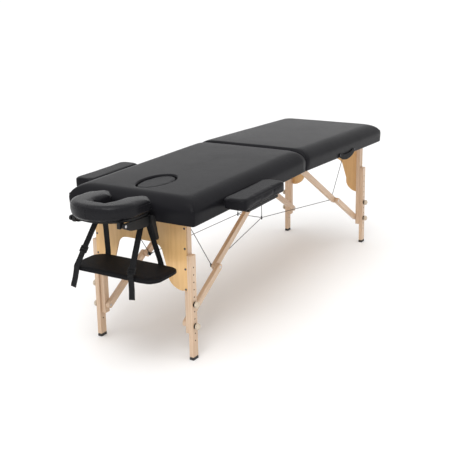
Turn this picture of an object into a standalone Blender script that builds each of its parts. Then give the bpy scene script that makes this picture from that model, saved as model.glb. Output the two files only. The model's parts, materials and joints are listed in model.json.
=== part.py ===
"""Portable massage table: two hinged sections on folding, height-adjustable legs,
with a face cradle, a hanging arm shelf and two side armrests.

X runs along the table with the head end at -X, Y runs across it, Z is up, and the
floor is Z = 0. Each section is modelled in its own frame, whose origin is on the
middle hinge's axis; "out" is the distance from that axis towards the section's end.
"""
import math

import bmesh
import bpy
from mathutils import Matrix, Vector

# Driving dimensions, in metres and radians.
SECTION_LENGTH = 0.925
TABLE_WIDTH = 0.600
PEAK = math.radians(1.2)          # each section slopes down this much from the middle
HINGE_HEIGHT = 0.583
GAP = 0.0003                      # clearance between neighbouring pieces

HINGE_DROP = 0.004                # the frame's underside above the hinge axis
FRAME_HEIGHT = 0.052
DECK_THICKNESS = 0.005
PAD_THICKNESS = 0.0374
PAD_EDGE = 0.010                  # rounding of the pads' edges
RAIL = 0.017
COVER = 0.003                     # upholstery over the outside of the frame

FACE_HOLE_OUT = 0.735
FACE_HOLE_SEMI = (0.1075, 0.065)
PLUG_CLEARANCE = 0.0015

LEG_OUT = 0.8445                  # leg pivot, from the hinge axis
PIVOT_RISE = 0.022                # leg pivots above the hinge axis
PIVOT_BLOCK = 0.040               # length of the block on each side rail that holds a leg
LEG_INNER, LEG_OUTER = 0.0175, 0.0105   # upper leg either side of its pivot, along X
UPPER_LEG_Y = (0.2017, 0.2217)
UPPER_LEG_BOTTOM = 0.105          # above the floor
LOWER_BRACE_Y = (0.1835, 0.2014)
UPPER_BRACE_Y = (0.1650, 0.1832)

EXTENSION_Y = (0.2220, 0.2405)
EXTENSION_DEPTH = 0.033
EXTENSION_TOP = 0.427
FOOT_HEIGHT = 0.012
HOLE_PITCH = 0.030
HOLE_COUNT = 11
FIRST_HOLE = 0.079
HOLE_RADIUS = 0.0031
KNOB_HEIGHTS = (0.139, 0.229)
KNOB_RADIUS = 0.0135
KNOB_LENGTH = 0.022

PANEL_THICKNESS = 0.0087
APRON_BOTTOM = 0.460
LEAF_BOTTOM = 0.282
LEAF_INNER_Y = 0.135

BRACE_WIDTH = 0.028
BRACE_OUT = 0.069                 # upper brace pivot, from the hinge axis
UPPER_LIFT = 0.0193               # the upper brace's pivot above the leg pivot
LOWER_LIFT = 0.0060               # the lower brace's pivot inward of the leg pivot
BRACE_LEG_HEIGHT = 0.140          # lower brace pivot on the leg, above the floor
BRACE_RAIL_HALF = 0.162

CABLE_RADIUS = 0.0015
CABLE_Y = 0.158
JUNCTION = (0.066, 0.335)         # where a long cable meets the cross tie: |y| and z
CABLE_END_OUT = 0.800

POST_Y = 0.078
POST_RADIUS = 0.0063
CROSSBAR_X = -0.958
CROSSBAR_RADIUS = 0.009
CROSSBAR_Z = 0.587
CRADLE_HINGE = (-1.105, 0.594)
ARM_Y, ARM_THICKNESS = 0.125, 0.010
CUSHION_X = (-1.175, -0.933)
CUSHION_HALF_WIDTH = 0.150
CUSHION_Z = (0.6135, 0.667)
CUSHION_OPENING = (0.045, 0.040)  # half width, and inner end radius centre from the middle
PLATFORM_THICKNESS = 0.009

SHELF_CENTRE = (-0.9975, 0.387)
SHELF_SIZE = (0.185, 0.410, 0.022)
SHELF_SIDE = -0.028                # the shelf hangs a little to the near side
STRAP_WIDTH, STRAP_THICKNESS = 0.028, 0.002
STRAP_Y = 0.100
STRAP_SPREAD = 0.030              # how much further out the straps are at the shelf

ARMREST_OUT = (0.425, 0.760)
ARMREST_Y = (0.318, 0.420)
ARMREST_RISE = (0.030, 0.076)
PEG_OUT = (0.505, 0.680)
PEG_RISE = 0.0215
PEG_RADIUS = 0.006

HEAD, FOOT = -1, 1                # which way "out" points along X
NEAR, FAR = -1, 1                 # which side of the table, along Y


# ---------------------------------------------------------------- scene helpers

def clear_scene():
    for thing in list(bpy.data.objects):
        bpy.data.objects.remove(thing, do_unlink=True)


def new_collection(name):
    collection = bpy.data.collections.new(name)
    bpy.context.scene.collection.children.link(collection)
    return collection


def new_material(name, colour, roughness, metallic=0.0):
    material = bpy.data.materials.new(name)
    material.use_nodes = True
    shader = material.node_tree.nodes["Principled BSDF"]
    shader.inputs["Base Color"].default_value = (*colour, 1.0)
    shader.inputs["Roughness"].default_value = roughness
    shader.inputs["Metallic"].default_value = metallic
    return material


def frame_empty(name, parent=None, location=(0, 0, 0), turn=0.0):
    """An empty that holds a body's frame, turned about Y."""
    empty = bpy.data.objects.new(name, None)
    empty.empty_display_size = 0.05
    PARTS.objects.link(empty)
    empty.parent = parent
    empty.location = location
    empty.rotation_euler = (0, turn, 0)
    return empty


def add_object(name, mesh, material, parent=None, collection=None):
    thing = bpy.data.objects.new(name, mesh)
    (collection or PARTS).objects.link(thing)
    thing.parent = parent
    if material and not mesh.materials:
        mesh.materials.append(material)
    return thing


def mesh_from(bm, name, smooth_angle=None):
    mesh = bpy.data.meshes.new(name)
    bmesh.ops.recalc_face_normals(bm, faces=bm.faces)
    bm.to_mesh(mesh)
    bm.free()
    if smooth_angle:
        mesh.shade_smooth()
        mesh.set_sharp_from_angle(angle=smooth_angle)
    return mesh


def box_mesh(name, low, high, rounding=0.0):
    low, high = Vector(low), Vector(high)
    bm = bmesh.new()
    bmesh.ops.create_cube(bm, size=1.0)
    bmesh.ops.scale(bm, vec=high - low, verts=bm.verts)
    bmesh.ops.translate(bm, vec=(low + high) / 2, verts=bm.verts)
    if rounding:
        bmesh.ops.bevel(bm, geom=bm.edges[:], offset=rounding, segments=1, affect="EDGES")
    return mesh_from(bm, name)


def cylinder_mesh(name, radius, start, end, sides=16, top_radius=None):
    """A round bar or cone between two points."""
    start, end = Vector(start), Vector(end)
    bm = bmesh.new()
    bmesh.ops.create_cone(
        bm, cap_ends=True, segments=sides, radius1=radius,
        radius2=radius if top_radius is None else top_radius, depth=(end - start).length,
    )
    turn = (end - start).to_track_quat("Z", "Y").to_matrix().to_4x4()
    bmesh.ops.transform(bm, matrix=Matrix.Translation((start + end) / 2) @ turn, verts=bm.verts)
    return mesh_from(bm, name, math.radians(40))


PLANES = {
    "XZ": Matrix(((1, 0, 0, 0), (0, 0, -1, 0), (0, 1, 0, 0), (0, 0, 0, 1))),
    "YZ": Matrix(((0, 0, 1, 0), (1, 0, 0, 0), (0, 1, 0, 0), (0, 0, 0, 1))),
    "XY": Matrix.Identity(4),
}


def plate_mesh(name, outline, thickness, plane="XY"):
    """A flat outline given a thickness, centred on its plane."""
    curve = bpy.data.curves.new(name, "CURVE")
    curve.dimensions = "2D"
    curve.fill_mode = "BOTH"
    curve.extrude = thickness / 2
    spline = curve.splines.new("POLY")
    spline.points.add(len(outline) - 1)
    for point, (a, b) in zip(spline.points, outline):
        point.co = (a, b, 0, 1)
    spline.use_cyclic_u = True
    holder = bpy.data.objects.new(name, curve)
    PARTS.objects.link(holder)
    evaluated = holder.evaluated_get(bpy.context.evaluated_depsgraph_get())
    mesh = bpy.data.meshes.new_from_object(evaluated)
    bpy.data.objects.remove(holder, do_unlink=True)
    bm = bmesh.new()
    bm.from_mesh(mesh)
    bmesh.ops.remove_doubles(bm, verts=bm.verts, dist=1e-6)
    bmesh.ops.transform(bm, matrix=PLANES[plane], verts=bm.verts)
    bpy.data.meshes.remove(mesh)
    return mesh_from(bm, name, math.radians(35))


def shift(mesh, x=0.0, y=0.0, z=0.0):
    mesh.transform(Matrix.Translation((x, y, z)))
    return mesh


def boolean(thing, tool_mesh, operation):
    """Cut a mesh from an object, or join one to it."""
    tool = add_object(f"tool_{thing.name}_{len(TOOLS.objects)}", tool_mesh, None, thing.parent, TOOLS)
    tool.hide_render = True
    tool.display_type = "WIRE"
    modifier = thing.modifiers.new(operation.lower(), "BOOLEAN")
    modifier.operation = operation
    modifier.solver = "EXACT"
    modifier.object = tool


# -------------------------------------------------------------- outline helpers

def arc(centre, radius, start, end, steps):
    """Points on an arc, its angles in degrees; radius is one number or a pair."""
    rx, ry = radius if isinstance(radius, tuple) else (radius, radius)
    points = []
    for step in range(steps + 1):
        angle = math.radians(start + (end - start) * step / steps)
        points.append((centre[0] + rx * math.cos(angle), centre[1] + ry * math.sin(angle)))
    return points


def rounded_rectangle(centre, size, radius, steps=4):
    half_x, half_y = size[0] / 2 - radius, size[1] / 2 - radius
    corners = ((1, 1, 0), (-1, 1, 90), (-1, -1, 180), (1, -1, 270))
    points = []
    for sx, sy, start in corners:
        middle = (centre[0] + sx * half_x, centre[1] + sy * half_y)
        points += arc(middle, radius, start, start + 90, steps)
    return points


def ribbon(route, thickness):
    """The outline of a band of even thickness that follows a route."""
    left, right = [], []
    for index, point in enumerate(route):
        before = Vector(route[max(index - 1, 0)])
        after = Vector(route[min(index + 1, len(route) - 1)])
        here = Vector(point)
        sides = [v.normalized() for v in (here - before, after - here) if v.length > 0]
        along = sum(sides, Vector((0, 0))).normalized()
        stretch = 1 / max(along.dot(sides[0]), 0.5)
        across = Vector((-along.y, along.x)) * thickness / 2 * stretch
        left.append(tuple(here + across))
        right.append(tuple(here - across))
    return left + right[::-1]


# ---------------------------------------------------------------------- sections

FRAME_TOP = HINGE_DROP + FRAME_HEIGHT
DECK_BOTTOM = FRAME_TOP + GAP
PAD_BOTTOM = DECK_BOTTOM + DECK_THICKNESS + GAP
PAD_TOP = PAD_BOTTOM + PAD_THICKNESS
RAIL_OUTER_Y = TABLE_WIDTH / 2 - COVER
RAIL_INNER_Y = RAIL_OUTER_Y - RAIL
RAIL_OUTER_END = SECTION_LENGTH - COVER


def section_box(name, section, side, out, y, rise, material, rounding=0.0015):
    """A straight piece of a section's frame, given by its reach out from the hinge."""
    xs = sorted((side * out[0], side * out[1]))
    mesh = box_mesh(name, (xs[0], y[0], rise[0]), (xs[1], y[1], rise[1]), rounding)
    return add_object(name, mesh, material, section)


def oval_plug_mesh(name, semi, rise, sides=40):
    outline = arc((0, 0), semi, 0, 360 - 360 / sides, sides - 1)
    mesh = plate_mesh(name, outline, rise[1] - rise[0])
    return shift(mesh, HEAD * FACE_HOLE_OUT, 0, (rise[0] + rise[1]) / 2)


def build_section(side, label, section):
    """The wooden frame, deck and padding of one half of the table top."""
    frame_rise = (HINGE_DROP, FRAME_TOP)
    inner_start, inner_end = 0.0205 + GAP, RAIL_OUTER_END - RAIL - GAP
    for y_side, where in ((NEAR, "near"), (FAR, "far")):
        ys = sorted((y_side * RAIL_INNER_Y, y_side * RAIL_OUTER_Y))
        rail = section_box(
            f"{label}_side_rail_{where}", section, side, (inner_start, inner_end), ys, frame_rise, WOOD
        )
        block_y = sorted((y_side * (UPPER_LEG_Y[1] + 0.0020), y_side * (RAIL_INNER_Y + 0.0010)))
        block_out = sorted((side * (LEG_OUT - PIVOT_BLOCK / 2), side * (LEG_OUT + PIVOT_BLOCK / 2)))
        block = box_mesh(
            "pivot_block", (block_out[0], block_y[0], HINGE_DROP + 0.0010),
            (block_out[1], block_y[1], FRAME_TOP - 0.0010),
        )
        boolean(rail, block, "UNION")
        if side == HEAD:
            for out in PEG_OUT:
                hole = cylinder_mesh(
                    "peg_hole", PEG_RADIUS + GAP, (-out, ys[0] - 0.01, PEG_RISE),
                    (-out, ys[1] + 0.01, PEG_RISE),
                )
                boolean(rail, hole, "DIFFERENCE")
    width = (-RAIL_OUTER_Y, RAIL_OUTER_Y)
    end_rail = section_box(
        f"{label}_end_rail", section, side, (inner_end + GAP, RAIL_OUTER_END), width, frame_rise, WOOD
    )
    if side == HEAD:
        for y_side in (NEAR, FAR):
            hole = cylinder_mesh(
                "post_hole", POST_RADIUS + GAP,
                (-inner_end + 0.01, y_side * POST_Y, PIVOT_RISE),
                (-RAIL_OUTER_END - 0.01, y_side * POST_Y, PIVOT_RISE),
            )
            boolean(end_rail, hole, "DIFFERENCE")
    section_box(f"{label}_hinge_rail", section, side, (0.0008, 0.0205), width, frame_rise, WOOD)
    section_box(
        f"{label}_brace_rail", section, side, (BRACE_OUT - 0.011, BRACE_OUT + 0.011),
        (-BRACE_RAIL_HALF, BRACE_RAIL_HALF), (HINGE_DROP + 0.004, FRAME_TOP), WOOD,
    )
    deck = section_box(
        f"{label}_deck", section, side, (0.0012, RAIL_OUTER_END), width,
        (DECK_BOTTOM, DECK_BOTTOM + DECK_THICKNESS), PLYWOOD, 0.0,
    )
    pad = section_box(
        f"{label}_pad", section, side, (0.0025, SECTION_LENGTH),
        (-TABLE_WIDTH / 2, TABLE_WIDTH / 2), (PAD_BOTTOM, PAD_TOP), VINYL, PAD_EDGE,
    )
    if side == HEAD:
        for panel in (deck, pad):
            hole = oval_plug_mesh("face_hole", FACE_HOLE_SEMI, (DECK_BOTTOM - 0.02, PAD_TOP + 0.02))
            boolean(panel, hole, "DIFFERENCE")
        plug_semi = tuple(semi - PLUG_CLEARANCE for semi in FACE_HOLE_SEMI)
        mesh = oval_plug_mesh("face_plug", plug_semi, (PAD_BOTTOM + 0.004, PAD_TOP - 0.006))
        add_object("face_plug", mesh, VINYL, section)


def build_hinge_leaf(side, label, section):
    """Half of the long middle hinge: a leaf under the rail and its share of the knuckles."""
    pitch, count = 0.080, 7
    leaf_rise = (0.0020, HINGE_DROP - GAP)
    start = 0.0042
    leaf = section_box(
        f"{label}_hinge_leaf", section, side, (start, 0.0195),
        (-pitch * count / 2, pitch * count / 2), leaf_rise, STEEL, 0.0,
    )
    knuckle_radius = 0.0034
    for index in range(0 if side == HEAD else 1, count, 2):
        low = -pitch * count / 2 + pitch * index + GAP
        high = low + pitch - 2 * GAP
        xs = sorted((0.0, side * (start + 0.002)))
        tongue = box_mesh("tongue", (xs[0], low, leaf_rise[0]), (xs[1], high, knuckle_radius - 0.0002))
        boolean(leaf, tongue, "UNION")
        knuckle = cylinder_mesh("knuckle", knuckle_radius, (0, low, 0), (0, high, 0), 12)
        boolean(leaf, knuckle, "UNION")


# ------------------------------------------------------------------ legs and braces

def pivot_height():
    """The leg pivots' height above the floor."""
    return HINGE_HEIGHT - LEG_OUT * math.sin(PEAK) + PIVOT_RISE * math.cos(PEAK)


def brace_geometry():
    """Lengths and angles of the two-piece brace, which is straight when it is open and
    lies flat along the section when the leg is folded."""
    leg_length = pivot_height() - BRACE_LEG_HEIGHT
    down_out = leg_length * math.sin(PEAK) - LOWER_LIFT * math.cos(PEAK)
    down_fall = leg_length * math.cos(PEAK) + LOWER_LIFT * math.sin(PEAK) + UPPER_LIFT
    reach = Vector((LEG_OUT + down_out - BRACE_OUT, -down_fall))
    folded_reach = LEG_OUT - leg_length - BRACE_OUT
    upper = (reach.length + folded_reach) / 2
    lower = reach.length - upper
    slope = math.atan2(-reach.y, reach.x)
    return leg_length, upper, lower, slope


def upper_leg_mesh():
    """An upright with a round top, in its pivot's frame."""
    bottom = UPPER_LEG_BOTTOM - pivot_height()
    radius = (LEG_INNER + LEG_OUTER) / 2
    middle = (LEG_OUTER - LEG_INNER) / 2
    outline = [(-LEG_INNER, bottom), (LEG_OUTER, bottom)] + arc((middle, 0.004), radius, 0, 180, 8)
    return plate_mesh("upper_leg", outline, UPPER_LEG_Y[1] - UPPER_LEG_Y[0], "XZ")


def panel_mesh(side):
    """The end panel: an apron across the legs with a leaf down the inside of each."""
    top = 0.0
    bottom = APRON_BOTTOM - pivot_height()
    leaf = LEAF_BOTTOM - pivot_height()
    edge = UPPER_LEG_Y[1]
    low = UPPER_LEG_Y[0] - 0.002
    half = [(0.062, bottom)]
    half += arc((0.062, bottom - 0.040), (0.048, 0.040), 75, 5, 5)
    half += arc((LEAF_INNER_Y + 0.065, leaf + 0.062), (0.070, 0.062), 170, 270, 8)
    half += [(low, leaf), (low, leaf + 0.002), (edge, leaf + 0.002), (edge, top)]
    outline = half + [(-y, z) for y, z in reversed(half)]
    mesh = plate_mesh("end_panel", outline, PANEL_THICKNESS, "YZ")
    return shift(mesh, side * (LEG_OUTER + GAP + PANEL_THICKNESS / 2))


def extension_mesh():
    """A sliding lower leg with its row of height holes, centred on its own width."""
    outline = [
        (-EXTENSION_DEPTH / 2, FOOT_HEIGHT + GAP), (EXTENSION_DEPTH / 2, FOOT_HEIGHT + GAP),
        (EXTENSION_DEPTH / 2, EXTENSION_TOP), (-EXTENSION_DEPTH / 2, EXTENSION_TOP),
    ]
    return plate_mesh("leg_extension", outline, EXTENSION_Y[1] - EXTENSION_Y[0], "XZ")


def knob_mesh():
    """A turned knob on the Y axis, its flat back at Y = 0 and its nose towards -Y."""
    profile = [(0.0, KNOB_LENGTH), (0.5, KNOB_LENGTH), (0.85, KNOB_LENGTH - 0.0025)]
    profile += [(1.0, KNOB_LENGTH - 0.006), (1.0, 0.006), (0.72, 0.003), (0.72, 0.0), (0.0, 0.0)]
    bm = bmesh.new()
    verts = [bm.verts.new((share * KNOB_RADIUS, 0, height)) for share, height in profile]
    for first, second in zip(verts, verts[1:]):
        bm.edges.new((first, second))
    bmesh.ops.spin(
        bm, geom=bm.verts[:] + bm.edges[:], cent=(0, 0, 0), axis=(0, 0, 1), angle=math.tau, steps=18,
        use_duplicate=False,
    )
    bmesh.ops.remove_doubles(bm, verts=bm.verts, dist=1e-5)
    bmesh.ops.rotate(bm, cent=(0, 0, 0), matrix=Matrix.Rotation(math.pi / 2, 3, "X"), verts=bm.verts)
    return mesh_from(bm, "knob", math.radians(35))


def brace_mesh(name, length, y):
    """A flat wooden bar with round ends, from its pivot along +X."""
    radius = BRACE_WIDTH / 2
    outline = arc((0, 0), radius, 90, 270, 8) + arc((length, 0), radius, -90, 90, 8)
    return plate_mesh(name, outline, y[1] - y[0], "XZ")


def build_legs(side, label, section, leg):
    """One end's legs, end panel, extensions, feet, knobs and braces."""
    leg_length, upper, lower, slope = brace_geometry()
    add_object(f"{label}_end_panel", panel_mesh(side), PLYWOOD, leg)
    upper_pivot = frame_empty(
        f"{label}_upper_brace_pivot", section, (side * BRACE_OUT, 0, PIVOT_RISE + UPPER_LIFT), side * slope
    )
    lower_pivot = frame_empty(
        f"{label}_lower_brace_pivot", leg, (-side * LOWER_LIFT, 0, -leg_length), side * (PEAK + slope)
    )
    turned = math.pi if side == HEAD else 0.0
    for y_side, where in ((NEAR, "near"), (FAR, "far")):
        upright = add_object(f"{label}_upper_leg_{where}", upper_leg_mesh(), WOOD, leg)
        upright.location.y = y_side * sum(UPPER_LEG_Y) / 2
        upright.rotation_euler.z = turned

        slide = frame_empty(
            f"{label}_{where}_slide", leg,
            (side * (LEG_OUTER + GAP + PANEL_THICKNESS - EXTENSION_DEPTH / 2), 0, -pivot_height()),
        )
        middle_y = y_side * sum(EXTENSION_Y) / 2
        extension = add_object(f"{label}_leg_extension_{where}", extension_mesh(), WOOD, slide)
        extension.location.y = middle_y
        for index in range(HOLE_COUNT):
            z = FIRST_HOLE + HOLE_PITCH * index
            hole = cylinder_mesh(
                "height_hole", HOLE_RADIUS, (0, middle_y - 0.02, z), (0, middle_y + 0.02, z), 10
            )
            boolean(extension, hole, "DIFFERENCE")
        foot = cylinder_mesh("rubber_foot", 0.026, (0, 0, 0), (0, 0, FOOT_HEIGHT), 4, 0.0245)
        foot.transform(Matrix.Rotation(math.pi / 4, 4, "Z"))
        foot.transform(Matrix.Diagonal((0.95, 0.56, 1.0, 1.0)))
        shift(foot, 0, middle_y)
        add_object(f"{label}_rubber_foot_{where}", foot, RUBBER, slide)

        for number, height in enumerate(KNOB_HEIGHTS, 1):
            centre = (slide.location.x, y_side * (EXTENSION_Y[1] + GAP), height - pivot_height())
            knob = add_object(f"{label}_knob_{where}_{number}", knob_mesh(), IVORY, leg)
            knob.location = centre
            knob.rotation_euler.z = 0.0 if y_side == NEAR else math.pi

        for pivot, length, ys, kind in (
            (upper_pivot, upper, UPPER_BRACE_Y, "upper"), (lower_pivot, lower, LOWER_BRACE_Y, "lower"),
        ):
            outward = side if kind == "upper" else -side
            brace = add_object(
                f"{label}_{kind}_brace_{where}", brace_mesh(f"{kind}_brace", length, ys), WOOD, pivot
            )
            brace.location.y = y_side * sum(ys) / 2
            brace.rotation_euler.z = 0.0 if outward == FOOT else math.pi


def knee_point(side):
    """Where the two halves of a brace meet, in the table's frame."""
    _, upper, _, slope = brace_geometry()
    angle = slope + PEAK
    rise = PIVOT_RISE + UPPER_LIFT
    out = BRACE_OUT * math.cos(PEAK) + rise * math.sin(PEAK) + upper * math.cos(angle)
    fall = BRACE_OUT * math.sin(PEAK) - rise * math.cos(PEAK) + upper * math.sin(angle)
    return Vector((side * out, 0, HINGE_HEIGHT - fall))


# ------------------------------------------------------------------- brace cables

def cable_mesh(start, end, short=0.0008):
    """A straight length of cable that stops just short of the crimps' centres."""
    trim = (end - start).normalized() * short
    return cylinder_mesh("cable", CABLE_RADIUS, start + trim, end - trim, 8)


def crimp_mesh(centre, radius):
    bm = bmesh.new()
    bmesh.ops.create_icosphere(bm, subdivisions=1, radius=radius)
    bmesh.ops.rotate(bm, matrix=Matrix.Rotation(0.4, 3, (1, 2, 3)), verts=bm.verts)
    bmesh.ops.translate(bm, vec=centre, verts=bm.verts)
    return mesh_from(bm, "crimp")


def build_cables(table):
    """The taut steel cables: a long one on each side through both knees, joined by a
    tie that hangs from the middle hinge."""
    tie_y, tie_z = JUNCTION
    end_z = HINGE_HEIGHT - CABLE_END_OUT * math.sin(PEAK) + 0.012
    hook = Vector((0, 0, HINGE_HEIGHT - 0.0085))
    crimps, lengths = [], []
    for y_side in (NEAR, FAR):
        junction = Vector((0, y_side * tie_y, tie_z))
        crimps.append(junction)
        lengths.append((hook, junction))
        for side in (HEAD, FOOT):
            knee = knee_point(side)
            knee.y = y_side * CABLE_Y
            crimps.append(knee)
            end = Vector((side * CABLE_END_OUT, y_side * CABLE_Y, end_z))
            lengths += [(junction, knee), (knee, end)]
    lengths.append((crimps[0], crimps[3]))
    cables = add_object("brace_cable_net", crimp_mesh(hook, 0.0045), STEEL, table)
    for crimp in crimps:
        boolean(cables, crimp_mesh(crimp, 0.0034), "UNION")
    for start, end in lengths:
        boolean(cables, cable_mesh(start, end), "UNION")


# --------------------------------------------------------- cradle, shelf, armrests

def horseshoe(x_range, half_width, opening, wall_end, steps):
    """A U-shaped outline whose open end faces the table."""
    inner_half, inner_centre = opening
    x_low, x_high = x_range
    centre_x = x_low + half_width * 0.86
    outer = arc((centre_x, 0), (half_width * 0.86, half_width), 90, 270, steps)
    arm_half = (half_width - inner_half) / 2
    arm_y = inner_half + arm_half
    tip_x = x_high - wall_end
    near_tip = arc((tip_x, -arm_y), (wall_end, arm_half), -90, 90, steps // 2)
    inner = arc((centre_x + inner_centre * 0.2, 0), (inner_half * 1.35, inner_half), 270, 90, steps)
    far_tip = arc((tip_x, arm_y), (wall_end, arm_half), -90, 90, steps // 2)
    return outer + near_tip + inner + far_tip


def build_cradle(table):
    """The face cradle: posts and arms, a tilting platform, its cushion and cam lever."""
    post_start = RAIL_OUTER_END - 0.038
    down = Vector((-math.cos(PEAK), 0, -math.sin(PEAK)))
    origin = Vector((0, 0, HINGE_HEIGHT)) + Vector((-math.sin(PEAK), 0, math.cos(PEAK))) * PIVOT_RISE
    base = None
    for y_side in (NEAR, FAR):
        start = origin + down * post_start
        length = (CROSSBAR_X - start.x) / down.x
        end = start + down * length
        start.y = end.y = y_side * POST_Y
        mesh = cylinder_mesh("cradle_post", POST_RADIUS, start, end)
        if base is None:
            base = add_object("cradle_base", mesh, BLACK, table)
        else:
            boolean(base, mesh, "UNION")
    crossbar = cylinder_mesh(
        "crossbar", CROSSBAR_RADIUS, (CROSSBAR_X, -0.1305, CROSSBAR_Z), (CROSSBAR_X, 0.1305, CROSSBAR_Z), 20
    )
    boolean(base, crossbar, "UNION")
    hinge_x, hinge_z = CRADLE_HINGE
    arm_outline = arc((hinge_x, hinge_z), 0.010, 80, 240, 6) + [
        (hinge_x + 0.030, hinge_z - 0.024), (hinge_x + 0.075, hinge_z - 0.030),
        (CROSSBAR_X - 0.020, CROSSBAR_Z - 0.026), (CROSSBAR_X + 0.009, CROSSBAR_Z - 0.010),
        (CROSSBAR_X + 0.009, CROSSBAR_Z + 0.009), (CROSSBAR_X, CROSSBAR_Z + 0.012),
    ]
    for y_side in (NEAR, FAR):
        arm = plate_mesh("cradle_arm", arm_outline, ARM_THICKNESS, "XZ")
        boolean(base, shift(arm, 0, y_side * ARM_Y), "UNION")

    tilt = frame_empty("cradle_tilt_pivot", table, (hinge_x, 0, hinge_z))
    top = CUSHION_Z[0] - GAP
    outline = horseshoe(
        (CUSHION_X[0] + 0.020, CUSHION_X[1] - 0.020), CUSHION_HALF_WIDTH - 0.020, (0.055, 0.030), 0.030, 14
    )
    platform_mesh = shift(
        plate_mesh("cradle_platform", outline, PLATFORM_THICKNESS),
        -hinge_x, 0, top - PLATFORM_THICKNESS / 2 - hinge_z,
    )
    platform = add_object("cradle_platform", platform_mesh, BLACK, tilt)
    for y_side in (NEAR, FAR):
        lug_y = y_side * 0.105
        lug = box_mesh("lug", (-0.012, lug_y - 0.007, -0.010), (0.012, lug_y + 0.007, top - hinge_z - 0.004))
        boolean(platform, lug, "UNION")
    cushion_outline = horseshoe(CUSHION_X, CUSHION_HALF_WIDTH, CUSHION_OPENING, 0.045, 20)
    cushion = plate_mesh("cradle_cushion", cushion_outline, CUSHION_Z[1] - CUSHION_Z[0])
    add_object("cradle_cushion", shift(cushion, -hinge_x, 0, sum(CUSHION_Z) / 2 - hinge_z), VINYL, tilt)

    lever_pivot = frame_empty("cam_lever_pivot", table, (CROSSBAR_X, 0, CROSSBAR_Z), math.radians(-15))
    lever_outline = arc((0, 0), 0.012, 0, 180, 8) + [
        (-0.012, -0.020), (-0.007, -0.085), (-0.003, -0.090), (0.004, -0.090), (0.008, -0.085),
    ]
    lever = plate_mesh("cam_lever", lever_outline, 0.012, "XZ")
    add_object("cam_lever", shift(lever, 0, -0.1368 - GAP), BLACK, lever_pivot)


def strap_route():
    """One strap in the crossbar's frame: tail, up the shelf's outer edge, over the
    crossbar and down to the shelf's inner edge."""
    shelf_x, shelf_z = SHELF_CENTRE[0] - CROSSBAR_X, SHELF_CENTRE[1] - CROSSBAR_Z
    half_x, half_z = SHELF_SIZE[0] / 2, SHELF_SIZE[2] / 2
    clear = STRAP_THICKNESS / 2 + GAP
    radius = CROSSBAR_RADIUS + clear
    outer, inner = shelf_x - half_x - clear, shelf_x + half_x + clear
    route = [(outer - 0.012, shelf_z - 0.070), (outer - 0.003, shelf_z - 0.030), (outer, shelf_z - half_z)]
    route += [(outer, shelf_z + half_z)]
    route += arc((0, 0), radius, 145, 15, 8)
    route += [(inner, shelf_z + half_z), (inner, shelf_z - half_z)]
    return route, shelf_z


def build_shelf(table):
    """The padded arm shelf and the two straps that hang it from the crossbar."""
    hang = frame_empty("arm_shelf_pivot", table, (CROSSBAR_X, 0, CROSSBAR_Z))
    outline = rounded_rectangle(
        (SHELF_CENTRE[0] - CROSSBAR_X, 0), SHELF_SIZE[:2], 0.055, 6
    )
    shelf = plate_mesh("arm_shelf", outline, SHELF_SIZE[2])
    shelf = shift(shelf, 0, SHELF_SIDE, SHELF_CENTRE[1] - CROSSBAR_Z)
    add_object("arm_shelf", shelf, VINYL, hang)
    route, shelf_z = strap_route()
    for y_side, where in ((NEAR, "near"), (FAR, "far")):
        strap = plate_mesh(f"shelf_strap_{where}", ribbon(route, STRAP_THICKNESS), STRAP_WIDTH, "XZ")
        lean = Matrix.Identity(4)
        lean[1][2] = y_side * STRAP_SPREAD / shelf_z
        strap.transform(lean)
        add_object(f"shelf_strap_{where}", shift(strap, 0, y_side * STRAP_Y), WEBBING, hang)


def build_armrests(section):
    """A padded board on each side, its bracket's pegs in the side rail's holes."""
    middle = (ARMREST_OUT[0] + ARMREST_OUT[1]) / 2
    size = (ARMREST_OUT[1] - ARMREST_OUT[0], ARMREST_Y[1] - ARMREST_Y[0])
    for y_side, where in ((NEAR, "near"), (FAR, "far")):
        centre_y = y_side * sum(ARMREST_Y) / 2
        outline = rounded_rectangle((-middle, centre_y), size, 0.022, 4)
        pad = plate_mesh(f"armrest_pad_{where}", outline, ARMREST_RISE[1] - ARMREST_RISE[0])
        add_object(f"armrest_pad_{where}", shift(pad, 0, 0, sum(ARMREST_RISE) / 2), VINYL, section)
        board_y = sorted((y_side * 0.325, y_side * 0.408))
        board = section_box(
            f"armrest_bracket_{where}", section, HEAD, (PEG_OUT[0] - 0.030, PEG_OUT[1] + 0.030), board_y,
            (0.0165, ARMREST_RISE[0] - GAP), BLACK,
        )
        for out in PEG_OUT:
            peg = cylinder_mesh(
                "peg", PEG_RADIUS, (-out, y_side * 0.2805, PEG_RISE), (-out, y_side * 0.3550, PEG_RISE)
            )
            boolean(board, peg, "UNION")


# -------------------------------------------------------------------------- build

def build_table():
    head_reach = -CUSHION_X[0]
    foot_reach = SECTION_LENGTH * math.cos(PEAK) + (PAD_TOP - PAD_EDGE) * math.sin(PEAK)
    table = frame_empty("table", None, ((head_reach - foot_reach) / 2, 0, 0))
    for side, label in ((HEAD, "head"), (FOOT, "foot")):
        section = frame_empty(f"{label}_section_frame", table, (0, 0, HINGE_HEIGHT), side * PEAK)
        leg = frame_empty(f"{label}_leg_pivot", section, (side * LEG_OUT, 0, PIVOT_RISE), -side * PEAK)
        build_section(side, label, section)
        build_hinge_leaf(side, label, section)
        build_legs(side, label, section, leg)
        if side == HEAD:
            build_armrests(section)
    build_cables(table)
    build_cradle(table)
    build_shelf(table)


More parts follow.
